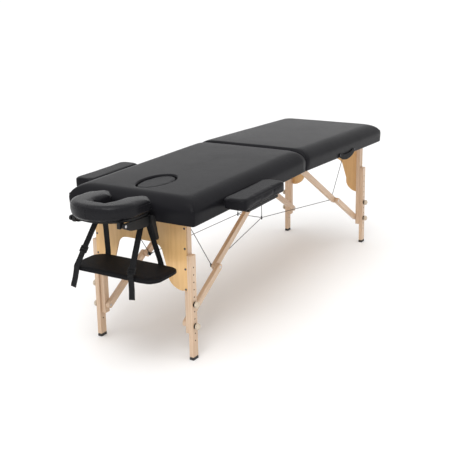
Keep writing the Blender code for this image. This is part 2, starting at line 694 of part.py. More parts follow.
clear_scene()
PARTS = new_collection("massage_table")
TOOLS = new_collection("cutters")
WOOD = new_material("maple", (0.80, 0.60, 0.42), 0.45)
PLYWOOD = new_material("plywood", (0.78, 0.57, 0.33), 0.5)
VINYL = new_material("black_vinyl", (0.02, 0.02, 0.022), 0.4)
BLACK = new_material("black_paint", (0.015, 0.015, 0.017), 0.45)
WEBBING = new_material("black_webbing", (0.02, 0.02, 0.022), 0.85)
RUBBER = new_material("black_rubber", (0.02, 0.02, 0.02), 0.8)
IVORY = new_material("ivory_knob", (0.72, 0.66, 0.55), 0.4)
STEEL = new_material("steel", (0.45, 0.46, 0.48), 0.35, 0.9)
build_table()
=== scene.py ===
"""The looks of a portable massage table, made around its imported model.

X runs along the table with the head end at -X, the near side is -Y and Z is up. Each
section of the top is modelled in its own frame: "out" is the distance from the middle
hinge towards the section's end, and "rise" is the height above the hinge's axis.
"""
import json
import math

import bmesh
import bpy
from mathutils import Matrix, Vector, noise
from mathutils.bvhtree import BVHTree


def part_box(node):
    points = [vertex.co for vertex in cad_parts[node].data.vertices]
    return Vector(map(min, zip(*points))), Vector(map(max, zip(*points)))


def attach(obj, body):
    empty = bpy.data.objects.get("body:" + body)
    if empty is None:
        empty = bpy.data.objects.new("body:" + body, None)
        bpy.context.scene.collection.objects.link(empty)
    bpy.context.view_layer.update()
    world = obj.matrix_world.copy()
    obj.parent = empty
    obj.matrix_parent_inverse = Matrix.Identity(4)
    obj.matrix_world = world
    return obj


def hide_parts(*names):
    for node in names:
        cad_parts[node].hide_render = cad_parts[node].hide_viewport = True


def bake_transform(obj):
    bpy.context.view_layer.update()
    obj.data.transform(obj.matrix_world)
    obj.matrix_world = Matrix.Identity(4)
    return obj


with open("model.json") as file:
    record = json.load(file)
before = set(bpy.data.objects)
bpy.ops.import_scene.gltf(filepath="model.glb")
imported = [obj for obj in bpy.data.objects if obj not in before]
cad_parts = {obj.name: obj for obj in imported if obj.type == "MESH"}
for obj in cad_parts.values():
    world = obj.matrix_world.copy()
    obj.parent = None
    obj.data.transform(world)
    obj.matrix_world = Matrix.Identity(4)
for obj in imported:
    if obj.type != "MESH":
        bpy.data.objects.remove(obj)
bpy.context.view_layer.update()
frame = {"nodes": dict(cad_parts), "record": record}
NODES = frame["nodes"]
JOINTS = {joint["name"]: joint for joint in frame["record"]["behaviour"]["joints"]}

HEAD, FOOT = -1, 1
NEAR, FAR = -1, 1
ENDS = ((HEAD, "head"), (FOOT, "foot"))
SIDES = ((NEAR, "near"), (FAR, "far"))

# The table's driving sizes, in metres.
HINGE = Vector(JOINTS["table_fold"]["pos_m"])
PEAK = math.radians(1.2)
HALF_WIDTH = 0.300
SECTION_LENGTH = 0.925
FRAME_BOTTOM = 0.004
PAD_BOTTOM = 0.0616
PAD_TOP = 0.099
CROWN = 0.003
RAIL_FACE = 0.297
FACE_HOLE_OUT = 0.735
FACE_HOLE_SEMI = (0.1075, 0.065)
KNEE_OUT, KNEE_Z = 0.593, 0.294
CABLE_RADIUS = 0.0015
STRAP_WIDTH = 0.0274


# ---- node materials

class Shader:
    """A small helper around one material's node tree."""

    def __init__(self, name):
        self.material = bpy.data.materials.new(name)
        self.material.use_nodes = True
        self.tree = self.material.node_tree
        self.surface = self.tree.nodes["Principled BSDF"]
        self.coords = self.tree.nodes.new("ShaderNodeTexCoord").outputs["Object"]

    def feed(self, socket, value):
        """Links an output to a socket, or sets the socket's constant."""
        if isinstance(value, bpy.types.NodeSocket):
            self.tree.links.new(value, socket)
        elif value is not None:
            socket.default_value = value

    def add(self, kind, output, settings=None, **sockets):
        """One output of a new node with these settings, constants and links."""
        node = self.tree.nodes.new("ShaderNode" + kind)
        for key, value in (settings or {}).items():
            setattr(node, key, value)
        for key, value in sockets.items():
            self.feed(node.inputs[key.replace("_", " ")], value)
        return node.outputs[output]

    def mapped(self, stretch=(1, 1, 1), lean=0.0):
        """Object coordinates, finer along each axis by its stretch, with the texture's X
        axis leaning up from the table's X axis by an angle."""
        return self.add("Mapping", "Vector", {"vector_type": "TEXTURE"}, Vector=self.coords,
                        Scale=[1 / part for part in stretch], Rotation=(0, -lean, 0))

    def noise(self, vector, scale, detail=4.0, roughness=0.5, distortion=0.0):
        return self.add("TexNoise", "Fac", Vector=vector, Scale=scale, Detail=detail,
                        Roughness=roughness, Distortion=distortion)

    def wave(self, vector, scale, direction, distortion=0.0, detail_scale=1.0, kind="BANDS"):
        return self.add("TexWave", "Fac", {"wave_type": kind, kind.lower() + "_direction": direction},
                        Vector=vector, Scale=scale, Distortion=distortion, Detail=3.0,
                        Detail_Scale=detail_scale)

    def ramp(self, value, *stops):
        """Colours placed along a value."""
        colour = self.add("ValToRGB", "Color", Fac=value)
        elements = colour.node.color_ramp.elements
        while len(elements) < len(stops):
            elements.new(0.5)
        for element, (spot, shade) in zip(elements, stops):
            element.position = spot
            element.color = (*shade, 1.0)
        return colour

    def math(self, operation, *values):
        result = self.add("Math", "Value", {"operation": operation})
        for socket, value in zip(result.node.inputs, values):
            self.feed(socket, value)
        return result

    def shaded(self, share, colour, by):
        """A colour multiplied by another, to a share."""
        mix = self.tree.nodes.new("ShaderNodeMix")
        mix.data_type, mix.blend_type = "RGBA", "MULTIPLY"
        for number, value in ((0, share), (6, colour), (7, by)):
            self.feed(mix.inputs[number], value)
        return mix.outputs[2]

    def bump(self, height, strength, distance, before=None):
        return self.add("Bump", "Normal", Height=height, Strength=strength, Distance=distance,
                        Normal=before)

    def finish(self, colour, rough, relief=None, **constants):
        """The material, with rough as (value, low, high) and relief as bump() takes it."""
        value, low, high = rough
        sockets = dict(constants, Base_Color=colour, Normal=self.bump(*relief) if relief else None)
        sockets["Roughness"] = self.add("MapRange", "Result", Value=value, To_Min=low, To_Max=high)
        for key, part in sockets.items():
            self.feed(self.surface.inputs[key.replace("_", " ")], part)
        return self.material


def vinyl_material(name="black_vinyl", tone=0.0100, gloss=0.30, sheen=0.055):
    """Black upholstery vinyl: a fine pebbled grain over soft creases."""
    shader = Shader(name)
    where = shader.mapped()
    cells = shader.add("TexVoronoi", "Distance", {"feature": "DISTANCE_TO_EDGE"}, Vector=where, Scale=620)
    pores = shader.noise(where, 900, 2.0, 0.6)
    creases = shader.noise(where, 26, 5.0, 0.55, 0.6)
    clouds = shader.noise(where, 3.5, 3.0, 0.5)
    grain = shader.bump(shader.math("MULTIPLY_ADD", pores, 0.25, cells), 0.22, 0.0006)
    shades = [(part, part * 0.98, part * 1.14) for part in (tone * 0.82, tone * 1.25)]
    patches = shader.math("MULTIPLY_ADD", clouds, 0.6, shader.math("MULTIPLY", creases, 0.4))
    return shader.finish(shader.ramp(clouds, (0.3, shades[0]), (0.7, shades[1])),
                         (patches, gloss - 0.07, gloss + 0.07), (creases, 0.10, 0.004, grain),
                         Specular_IOR_Level=sheen)


def wood_material(name, light, dark, lean=0.0, figure_scale=3.8, figured=0.30, gloss=0.36):
    """Lacquered pale wood, its grain along the leaning X axis."""
    shader = Shader(name)
    along = shader.mapped((1.0, 9.0, 9.0), lean)
    figure = shader.wave(along, figure_scale, "Y", 5.0, 1.4)
    streaks = shader.noise(along, 7.0, 6.0, 0.62, 0.8)
    pores = shader.noise(shader.mapped((22.0, 620.0, 620.0), lean), 1.0, 3.0, 0.6)
    clouds = shader.noise(along, 0.9, 2.0, 0.5)
    mix = shader.math("MULTIPLY_ADD", figure, figured, shader.math("MULTIPLY", streaks, 1 - figured))
    middle = tuple((a + b) / 2 for a, b in zip(light, dark))
    colour = shader.ramp(mix, (0.25, dark), (0.5, middle), (0.75, light))
    colour = shader.shaded(0.45, colour, shader.ramp(pores, (0.30, (0.72, 0.64, 0.56)), (0.42, (1, 1, 1))))
    colour = shader.shaded(0.6, colour, shader.ramp(clouds, (0.35, (0.92, 0.87, 0.81)), (0.65, (1, 1, 1))))
    return shader.finish(colour, (streaks, gloss - 0.05, gloss + 0.10),
                         (shader.math("MULTIPLY_ADD", streaks, 0.4, pores), 0.10, 0.0005),
                         Specular_IOR_Level=0.5, Coat_Weight=0.15, Coat_Roughness=0.22)


def ply_edge_material():
    """The layered edge of a sheet of plywood that stands across X."""
    shader = Shader("plywood_edge")
    layers = shader.wave(shader.mapped((1, 0.02, 0.02)), 185, "X", 0.4, 2.0)
    fibres = shader.noise(shader.mapped((300, 30, 30)), 1.0, 3.0, 0.6)
    colour = shader.ramp(layers, (0.35, (0.36, 0.20, 0.09)), (0.6, (0.66, 0.44, 0.23)))
    colour = shader.shaded(0.4, colour, shader.ramp(fibres, (0.3, (0.7, 0.62, 0.55)), (0.7, (1, 1, 1))))
    return shader.finish(colour, (fibres, 0.45, 0.6), (layers, 0.2, 0.0004), Specular_IOR_Level=0.4)


def webbing_material():
    """Flat woven polypropylene: ribs across and threads along the strap."""
    shader = Shader("black_webbing")
    where = shader.mapped()
    fuzz = shader.noise(where, 1400, 2.0, 0.6)
    ribs = shader.math("MULTIPLY", shader.wave(where, 210, "Z"), shader.wave(where, 260, "Y"))
    weave = shader.math("MULTIPLY_ADD", fuzz, 0.4, ribs)
    colour = shader.ramp(weave, (0.15, (0.0025, 0.0025, 0.003)), (0.9, (0.012, 0.012, 0.0135)))
    return shader.finish(colour, (fuzz, 0.62, 0.8), (weave, 0.5, 0.0008), Specular_IOR_Level=0.15,
                         Sheen_Weight=0.04, Sheen_Roughness=0.5)


def metal_material(name, colour, gloss, brushed=(40, 40, 700)):
    """Bare metal with fine brush lines."""
    shader = Shader(name)
    lines = shader.noise(shader.mapped(brushed), 1.0, 3.0, 0.6)
    stains = shader.noise(shader.mapped(), 45, 4.0, 0.5)
    tone = shader.ramp(stains, (0.35, tuple(part * 0.78 for part in colour)), (0.65, colour))
    return shader.finish(tone, (lines, gloss - 0.06, gloss + 0.10), (lines, 0.08, 0.0002), Metallic=1.0)


def painted_material(name="satin_black_paint", tone=0.005, gloss=0.50):
    """Satin black powder coat with a faint orange-peel surface."""
    shader = Shader(name)
    peel = shader.noise(shader.mapped(), 700, 2.0, 0.5)
    patches = shader.noise(shader.mapped(), 30, 4.0, 0.5)
    colour = shader.ramp(patches, (0.3, (tone, tone, tone * 1.1)), (0.7, (tone * 1.6, tone * 1.6, tone * 1.7)))
    return shader.finish(colour, (patches, gloss - 0.06, gloss + 0.08), (peel, 0.12, 0.0005),
                         Specular_IOR_Level=0.25)


def rubber_material():
    shader = Shader("black_rubber")
    grit = shader.noise(shader.mapped(), 1100, 3.0, 0.7)
    scuffs = shader.noise(shader.mapped((1, 1, 5)), 60, 4.0, 0.6)
    colour = shader.ramp(scuffs, (0.35, (0.012, 0.012, 0.012)), (0.75, (0.040, 0.039, 0.037)))
    return shader.finish(colour, (scuffs, 0.62, 0.85), (grit, 0.35, 0.0005))


def knob_material():
    """Turned pale hardwood under a clear lacquer."""
    shader = Shader("pale_knob_wood")
    rings = shader.wave(shader.mapped(), 130, "Y", 2.5, 2.0, "RINGS")
    flecks = shader.noise(shader.mapped((60, 900, 60)), 1.0, 3.0, 0.6)
    colour = shader.ramp(rings, (0.2, (0.46, 0.37, 0.27)), (0.8, (0.62, 0.54, 0.43)))
    colour = shader.shaded(0.35, colour, shader.ramp(flecks, (0.3, (0.75, 0.68, 0.6)), (0.6, (1, 1, 1))))
    return shader.finish(colour, (flecks, 0.28, 0.42), (flecks, 0.06, 0.0004), Specular_IOR_Level=0.5,
                         Coat_Weight=0.35, Coat_Roughness=0.15)


def twisted_material(name, scale, distortion, dark, light, rough, relief=(), **constants):
    """Twisted strands, for thread and for the cable's dark sleeve."""
    shader = Shader(name)
    strands = shader.wave(shader.mapped(), scale, "DIAGONAL", distortion)
    return shader.finish(shader.ramp(strands, (0.2, dark), (0.8, light)), (strands, *rough),
                         (strands, *relief) if relief else None, **constants)


def floor_material():
    shader = Shader("studio_floor")
    haze = shader.noise(shader.mapped(), 1.5, 2.0, 0.5)
    colour = shader.ramp(haze, (0.3, (0.90, 0.90, 0.90)), (0.7, (0.93, 0.93, 0.93)))
    return shader.finish(colour, (haze, 0.6, 0.7))


# ---- geometry helpers

def section_point(side, out, y, rise):
    """A point of a section's own frame, in the table's frame."""
    x = side * (out * math.cos(PEAK) + rise * math.sin(PEAK))
    z = -out * math.sin(PEAK) + rise * math.cos(PEAK)
    return HINGE + Vector((x, y, z))


def section_matrix(side):
    """Turns section coordinates (signed out, y, rise) into the table's frame."""
    return Matrix.Translation(HINGE) @ Matrix.Rotation(side * PEAK, 4, "Y")


def finish_mesh(bm, name, smooth=35.0):
    mesh = bpy.data.meshes.new(name)
    bmesh.ops.recalc_face_normals(bm, faces=bm.faces)
    bm.to_mesh(mesh)
    bm.free()
    mesh.shade_smooth()
    if smooth < 180:
        mesh.set_sharp_from_angle(angle=math.radians(smooth))
    return mesh


def linked(name, data):
    """A new object in the scene."""
    added = bpy.data.objects.new(name, data)
    bpy.context.scene.collection.objects.link(added)
    return added


def place(name, mesh, body, slot, *materials, replaces=()):
    """Adds a finished piece, riding on a body, standing for the named CAD nodes."""
    piece = linked(name, mesh)
    mesh.materials.clear()
    for material in materials:
        mesh.materials.append(material)
    if body:
        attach(piece, body)
    if replaces:
        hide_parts(*replaces)
    return piece


def applied(mesh, build):
    """The mesh after the modifiers that build(object) adds."""
    holder = linked("holder", mesh)
    build(holder)
    evaluated = holder.evaluated_get(bpy.context.evaluated_depsgraph_get())
    result = bpy.data.meshes.new_from_object(evaluated)
    bpy.data.objects.remove(holder, do_unlink=True)
    return result


def merged(meshes, name):
    """Several meshes as one, each kept as its own closed form."""
    bm = bmesh.new()
    for mesh in meshes:
        bm.from_mesh(mesh)
        bpy.data.meshes.remove(mesh)
    return finish_mesh(bm, name)


def softened_mesh(node, width, segments=2):
    """A CAD node's mesh with its triangles merged and its edges eased."""
    bm = bmesh.new()
    bm.from_mesh(NODES[node].data)
    bmesh.ops.remove_doubles(bm, verts=bm.verts, dist=2e-5)
    bmesh.ops.dissolve_limit(bm, angle_limit=math.radians(1.0), verts=bm.verts, edges=bm.edges)
    mesh = bpy.data.meshes.new(node + "_eased")
    bm.to_mesh(mesh)
    bm.free()

    def ease(holder):
        bevel = holder.modifiers.new("edges", "BEVEL")
        bevel.width = width
        bevel.segments = segments
        bevel.limit_method = "ANGLE"
        bevel.angle_limit = math.radians(32)
        normals = holder.modifiers.new("normals", "WEIGHTED_NORMAL")
        normals.keep_sharp = True

    mesh.shade_smooth()
    return applied(mesh, ease)


def lathe(profile, start, direction, name="turned", steps=32):
    """A turned solid: profile is (distance along, radius) pairs from its first end."""
    bm = bmesh.new()
    rings = []
    turn = Vector(direction).to_track_quat("Z", "Y").to_matrix()
    for along, radius in profile:
        if radius <= 0:
            rings.append([bm.verts.new(Vector(start) + turn @ Vector((0, 0, along)))])
            continue
        ring = []
        for step in range(steps):
            angle = math.tau * step / steps
            spot = Vector((radius * math.cos(angle), radius * math.sin(angle), along))
            ring.append(bm.verts.new(Vector(start) + turn @ spot))
        rings.append(ring)
    for low, high in zip(rings, rings[1:]):
        for step in range(steps):
            after = (step + 1) % steps
            corners = [ring[at % len(ring)] for ring, at in
                       ((low, step), (low, after), (high, after), (high, step))]
            corners = list(dict.fromkeys(corners))
            if len(corners) > 2:
                bm.faces.new(corners)
    for ring in (rings[0], rings[-1]):
        if len(ring) > 1:
            bm.faces.new(ring)
    return finish_mesh(bm, name, 40)


def bridge(bm, rings):
    """Quads between each ring of vertices and the next."""
    for low, high in zip(rings, rings[1:]):
        for step in range(len(low)):
            after = (step + 1) % len(low)
            bm.faces.new((low[step], low[after], high[after], high[step]))


def tube(points, radius, sides=10, name="tube", closed=False):
    """A round tube along a list of points, with flat ends."""
    bm = bmesh.new()
    points = [Vector(point) for point in points]
    count = len(points)
    normal = None
    rings = []
    for index, point in enumerate(points):
        ahead = points[(index + 1) % count] if closed or index + 1 < count else point
        behind = points[index - 1] if closed or index else point
        along = (ahead - behind).normalized()
        if normal is None:
            normal = along.orthogonal().normalized()
        normal = (normal - along * normal.dot(along)).normalized()
        across = along.cross(normal)
        ring = []
        for step in range(sides):
            angle = math.tau * step / sides
            ring.append(bm.verts.new(point + radius * (math.cos(angle) * normal + math.sin(angle) * across)))
        rings.append(ring)
    bridge(bm, rings + [rings[0]] if closed else rings)
    if not closed:
        bm.faces.new(rings[0])
        bm.faces.new(rings[-1])
    return finish_mesh(bm, name, 50)


def between(start, end, count):
    return [Vector(start).lerp(Vector(end), step / (count - 1)) for step in range(count)]


def on_surface(mesh, points, lift=0.0):
    """Each point moved to the nearest place on a mesh, then lifted off it."""
    bm = bmesh.new()
    bm.from_mesh(mesh)
    tree = BVHTree.FromBMesh(bm)
    bm.free()
    placed = []
    for point in points:
        spot, normal, _, _ = tree.find_nearest(Vector(point))
        placed.append(spot + normal * lift)
    return placed


def stitch_mesh(start, end, pitch=0.0028, share=0.65, radius=0.0003):
    """A straight row of short threads."""
    length = (end - start).length
    return merged([tube([start.lerp(end, number * pitch / length),
                         start.lerp(end, (number + share) * pitch / length)], radius, 5)
                   for number in range(int(length / pitch))], "stitches")


# ---- padding

def rounded_ring(low_x, high_x, half_y, corner, long=30, short=20, arc=6):
    """A rectangle with round corners as (x, y, outward x, outward y), with the same count
    of points whatever its size."""
    corners = ((high_x - corner, half_y - corner, 0), (low_x + corner, half_y - corner, 90),
               (low_x + corner, corner - half_y, 180), (high_x - corner, corner - half_y, 270))
    ring = []
    for number, (cx, cy, start) in enumerate(corners):
        for step in range(arc + 1):
            angle = math.radians(start + 90 * step / arc)
            out_x, out_y = math.cos(angle), math.sin(angle)
            ring.append((cx + corner * out_x, cy + corner * out_y, out_x, out_y))
        next_x, next_y, _ = corners[(number + 1) % 4]
        angle = math.radians(start + 90)
        out_x, out_y = math.cos(angle), math.sin(angle)
        count = long if number % 2 == 0 else short
        for step in range(1, count):
            share = step / count
            ring.append((cx + (next_x - cx) * share + corner * out_x,
                         cy + (next_y - cy) * share + corner * out_y, out_x, out_y))
    return ring


def ring_form(rings, name):
    """A closed skin through rings of points that all have the same count."""
    bm = bmesh.new()
    loops = [[bm.verts.new(point) for point in ring] for ring in rings]
    bridge(bm, loops)
    for loop in (loops[0], loops[-1]):
        bm.faces.new(loop)
    return finish_mesh(bm, name, 180)


def cover_mesh(side):
    """One section's vinyl cover: crowned foam on top, straight down over the rails and
    turned in under them, hollow from below."""
    roll, hinge_roll, drop = 0.067, 0.030, 0.052
    lip, wall, skin = 0.0165, HALF_WIDTH - RAIL_FACE - 0.0003, 0.0004
    top = PAD_TOP - 0.0005
    # Each ring: how far in from the outside, the same at the hinge, its height and how
    # much of the side's belly and of the crown it takes.
    outer = [(inward, hinge_inward, FRAME_BOTTOM + rise, 0, 0) for inward, hinge_inward, rise in
             ((lip, skin, -0.0004), (lip, skin, -0.0016), (lip * 0.5, skin * 0.9, -0.0021),
              (0.0026, skin * 0.6, -0.0019), (0.0008, skin * 0.3, -0.0006), (0.0, 0.0, 0.002))]
    wall_steps = 6
    for step in range(1, wall_steps + 1):
        share = step / wall_steps
        rise = FRAME_BOTTOM + 0.002 + share * (top - drop - FRAME_BOTTOM - 0.002)
        outer.append((0.0, 0.0, rise, share, 0))
    roll_steps = 22
    for step in range(1, roll_steps + 1):
        angle = math.radians(90 * step / roll_steps)
        bow, rise = 1 - math.cos(angle), top - drop + drop * math.sin(angle)
        outer.append((roll * bow, hinge_roll * bow, rise, math.cos(angle), math.sin(angle) ** 2))
    inward = roll
    while inward < HALF_WIDTH - 0.022:
        inward += 0.016
        outer.append((inward, inward - roll + hinge_roll, top, 0, 1))
    rings = []
    for inward, hinge_inward, rise, belly, crown in outer:
        corner = 0.0085 + min(inward, roll) * 0.42
        ring = []
        for x, y, out_x, out_y in rounded_ring(hinge_inward, SECTION_LENGTH - inward, HALF_WIDTH - inward,
                                               max(min(corner, HALF_WIDTH - inward - 0.001), 0.0005)):
            # The belly stays off the hinge side and eases towards the corners.
            free = 0.0 if out_x < -0.01 else 1.0
            from_corner = min(abs(x), SECTION_LENGTH - x) if abs(out_y) > 0.5 else HALF_WIDTH - abs(y)
            swell = 0.0032 * math.exp(-((rise - 0.048) / 0.028) ** 2) * min(1.0, 0.55 + from_corner / 0.07)
            swell += 0.0006 * noise.noise(Vector((x * 11, y * 11, rise * 16 + 3 * side))) * belly
            lift = 0.0
            if crown:
                across = 1 - (abs(y) / HALF_WIDTH) ** 3
                along = 1 - (abs(x - SECTION_LENGTH / 2) / (SECTION_LENGTH / 2)) ** 6
                lift = CROWN * max(across, 0) * max(along, 0) ** 0.7
                lift += 0.0006 * noise.noise(Vector((x * 7, y * 7, 5 + side))) * crown
            swell *= free
            ring.append(section_point(side, x + out_x * swell, y + out_y * swell, rise + lift * crown))
        rings.append(ring)
    inner = []
    for rise in (PAD_BOTTOM + 0.0004, FRAME_BOTTOM - 0.0001):
        inner.append([section_point(side, x, y, rise) for x, y, _, _ in
                      rounded_ring(skin * 1.5, SECTION_LENGTH - wall, HALF_WIDTH - wall, 0.0006)])
    return ring_form(inner + rings, "cover")


def slab_mesh(outline, low, high, round_top, round_low):
    """A flat form from an (x, y) outline, with its upper and lower rims rounded."""
    bm = bmesh.new()
    floor = [bm.verts.new((x, y, low)) for x, y in outline]
    roof = [bm.verts.new((x, y, high)) for x, y in outline]
    bm.faces.new(floor[::-1])
    bm.faces.new(roof)
    bridge(bm, [floor, roof])
    for level, radius in ((high, round_top), (low, round_low)):
        if radius:
            rim = [edge for edge in bm.edges if all(abs(vert.co.z - level) < 1e-6 for vert in edge.verts)]
            bmesh.ops.bevel(bm, geom=rim, offset=radius, segments=5, profile=0.5, affect="EDGES")
    return finish_mesh(bm, "slab", 180)


def rounded_outline(low_x, high_x, half_y, corner, centre_y=0.0):
    return [(x, y + centre_y) for x, y, _, _ in rounded_ring(low_x, high_x, half_y, corner, 12, 12, 8)]


def ellipse_outline(centre_x, half_x, half_y, steps=64):
    return [(centre_x + half_x * math.cos(math.tau * step / steps), half_y * math.sin(math.tau * step / steps))
            for step in range(steps)]


def arc_points(centre_x, centre_y, half_x, half_y, start, end, steps):
    return [(centre_x + half_x * math.cos(math.radians(start + (end - start) * step / steps)),
             centre_y + half_y * math.sin(math.radians(start + (end - start) * step / steps)))
            for step in range(steps + 1)]


def horseshoe_outline(inset=0.0):
    """The face cushion's outline, open towards the table, in the table's frame."""
    outer = arc_points(-1.046 + HINGE.x, 0, 0.129 - inset, 0.150 - inset, 90, 270, 34)
    inner = arc_points(-1.038 + HINGE.x, 0, 0.0608 + inset, 0.045 + inset, 270, 90, 20)
    near_tip = arc_points(-0.978 + HINGE.x, -0.0975, 0.045 - inset, 0.0525 - inset, 270, 450, 16)
    far_tip = arc_points(-0.978 + HINGE.x, 0.0975, 0.045 - inset, 0.0525 - inset, 270, 450, 16)
    return outer + near_tip + inner + far_tip


def moved(mesh, matrix):
    mesh.transform(matrix)
    return mesh


def puffed(mesh, voxel, pressure, cap, steps=20, smoothing=6):
    """Swells a closed form the way stuffing swells a sewn cover."""
    def remesh(holder):
        modifier = holder.modifiers.new("remesh", "REMESH")
        modifier.mode = "VOXEL"
        modifier.voxel_size = voxel

    mesh = applied(mesh, remesh)
    rest = [vert.co.copy() for vert in mesh.vertices]
    holder = linked("cloth_holder", mesh)
    cloth = holder.modifiers.new("cloth", "CLOTH")
    cloth.settings.quality = 5
    cloth.settings.mass = 0.25
    cloth.settings.tension_stiffness = 18
    cloth.settings.compression_stiffness = 18
    cloth.settings.shear_stiffness = 8
    cloth.settings.bending_stiffness = 0.6
    cloth.settings.use_pressure = True
    cloth.settings.uniform_pressure_force = pressure
    cloth.settings.effector_weights.gravity = 0
    for step in range(1, steps + 1):
        bpy.context.scene.frame_set(step)
    evaluated = holder.evaluated_get(bpy.context.evaluated_depsgraph_get())
    swollen = [vert.co.copy() for vert in evaluated.data.vertices]
    bpy.context.scene.frame_set(1)
    bpy.data.objects.remove(holder, do_unlink=True)
    for vert, before, after in zip(mesh.vertices, rest, swollen):
        move = after - before
        if move.length > cap:
            move *= cap / move.length
        vert.co = before + move

    def refine(holder):
        smooth = holder.modifiers.new("smooth", "CORRECTIVE_SMOOTH")
        smooth.use_only_smooth = True
        smooth.iterations = smoothing
        smooth.factor = 0.5
        division = holder.modifiers.new("division", "SUBSURF")
        division.levels = 1
        division.render_levels = 1

    mesh = applied(mesh, refine)
    mesh.shade_smooth()
    return mesh


def seam_mesh(mesh, points, radius, closed=False):
    """A piped seam lying half sunk in a surface."""
    return tube(on_surface(mesh, points, -radius * 0.25), radius, 8, "seam", closed)


# ---- materials

VINYL = vinyl_material()
CUSHION_VINYL = vinyl_material("cushion_vinyl", 0.0085, 0.26, 0.12)
SHELF_VINYL = vinyl_material("shelf_cloth", 0.0045, 0.60, 0.10)
MAPLE_LIGHT, MAPLE_DARK = (0.68, 0.515, 0.375), (0.58, 0.405, 0.27)
MAPLE_UP = wood_material("maple_upright", MAPLE_LIGHT, MAPLE_DARK, math.radians(90))
MAPLE_FLAT = wood_material("maple_level", MAPLE_LIGHT, MAPLE_DARK)
PLY_FACE = wood_material("plywood_face", (0.80, 0.52, 0.235), (0.68, 0.415, 0.17), math.radians(90), 1.6, 0.12)
PLY_FLAT = wood_material("plywood_level", (0.70, 0.50, 0.28), (0.58, 0.38, 0.20), 0.0, 2.4)
PLY_EDGE = ply_edge_material()
WEBBING = webbing_material()
BLACK_PAINT = painted_material()
BLACK_PLASTIC = painted_material("black_plastic", 0.004, 0.32)
RUBBER = rubber_material()
KNOB = knob_material()
STEEL = metal_material("zinc_steel", (0.62, 0.62, 0.64), 0.30)
DARK_STEEL = metal_material("dark_steel", (0.10, 0.10, 0.11), 0.38)
BRASS = metal_material("plated_hinge", (0.55, 0.53, 0.50), 0.34, (700, 40, 40))
THREAD = twisted_material("black_thread", 600, 0.5, (0.012, 0.012, 0.013), (0.05, 0.05, 0.055), (0.5, 0.7))
CABLE = twisted_material("coated_cable", 420, 0.3, (0.010, 0.010, 0.012), (0.045, 0.047, 0.052), (0.32, 0.5),
                         (0.3, 0.0004), Metallic=0.2, Specular_IOR_Level=0.3)
SHADOW = painted_material("hole_shadow", 0.010, 0.8)


# ---- the two covers

def hole_cutter(side):
    """The face hole as a solid, flared where the cover rolls into it."""
    flare = 0.008
    levels = [(PAD_BOTTOM - 0.004, 0.0), (PAD_TOP + CROWN * 0.75 - flare, 0.0)]
    for step in range(1, 9):
        angle = math.radians(82 * step / 8)
        levels.append((PAD_TOP + CROWN * 0.75 - flare + flare * math.sin(angle), flare * (1 - math.cos(angle))))
    levels.append((PAD_TOP + 0.02, levels[-1][1] + 0.002))
    rings = []
    for rise, wider in levels:
        rings.append([section_point(side, u, y, rise) for u, y in
                      ellipse_outline(FACE_HOLE_OUT, FACE_HOLE_SEMI[0] + wider, FACE_HOLE_SEMI[1] + wider, 96)])
    return ring_form(rings, "hole_cutter")


for side, label in ENDS:
    mesh = cover_mesh(side)
    if side == HEAD:
        cutter = linked("cutter", hole_cutter(side))

        def cut(holder):
            boolean = holder.modifiers.new("hole", "BOOLEAN")
            boolean.operation = "DIFFERENCE"
            boolean.solver = "EXACT"
            boolean.object = cutter

        mesh = applied(mesh, cut)
        bpy.data.objects.remove(cutter, do_unlink=True)
    mesh.shade_smooth()
    mesh.set_sharp_from_angle(angle=math.radians(50))
    cover = place(f"{label}_cover", mesh, f"{label}_section", "black_vinyl", VINYL,
                  replaces=[f"{label}_pad"])

    seams = []
    for y_side in (NEAR, FAR):
        for u in (0.004, SECTION_LENGTH - 0.0025):
            y = y_side * (HALF_WIDTH - 0.0025)
            low, high = FRAME_BOTTOM + 0.0005, PAD_TOP - 0.0295
            points = [section_point(side, u, y, low + (high - low) * step / 14) for step in range(15)]
            seams.append(tube(on_surface(mesh, points, -0.0001), 0.0007, 8, "seam"))
    place(f"{label}_corner_seams", merged(seams, "corner_seams"), f"{label}_section", "black_vinyl", VINYL)

# ---- face plug and cradle

rise_turn = section_matrix(HEAD)
plug_gap = 0.0032
plug_semi = [semi - plug_gap for semi in FACE_HOLE_SEMI]
plug_form = slab_mesh(ellipse_outline(-FACE_HOLE_OUT, *plug_semi), 0.0665, 0.0960, 0.010, 0.004)
plug_mesh = moved(puffed(plug_form, 0.004, 3.0, 0.0016), rise_turn)
plug = place("face_plug_pad", plug_mesh, "face_plug", "black_vinyl", VINYL, replaces=["face_plug"])
plug_line = [rise_turn @ Vector((x, y, 0.084)) for x, y in
             ellipse_outline(-FACE_HOLE_OUT, *FACE_HOLE_SEMI, 72)]
place("face_plug_seam", merged([seam_mesh(plug_mesh, plug_line, 0.0007, True)], "plug_seam"), "face_plug",
      "black_vinyl", VINYL)

cushion_low, cushion_high = (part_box("cradle_cushion")[end][2] for end in (0, 1))
cushion_form = slab_mesh(horseshoe_outline(0.0030), cushion_low + 0.001, cushion_high - 0.002, 0.019, 0.010)
cushion_mesh = puffed(cushion_form, 0.0042, 7.0, 0.0065)
cushion = place("cradle_cushion_pad", cushion_mesh, "cradle_head", "black_vinyl", CUSHION_VINYL,
                replaces=["cradle_cushion"])
cushion_seams = []
for level in (cushion_high - 0.0155, cushion_low + 0.010):
    line = [Vector((x, y, level)) for x, y in horseshoe_outline(-0.002)]
    line = [point for index, point in enumerate(line) if (point - line[index - 1]).length > 1e-5]
    cushion_seams.append(seam_mesh(cushion_mesh, line, 0.0009, True))
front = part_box("cradle_cushion")[0][0]
joint_line = [(front + 0.020, 0, cushion_high + 0.004), (front + 0.010, 0, cushion_high - 0.002)]
joint_line += [(front - 0.004, 0, cushion_high - 0.008 - 0.0042 * step) for step in range(10)]
cushion_seams.append(seam_mesh(cushion_mesh, joint_line, 0.0013))
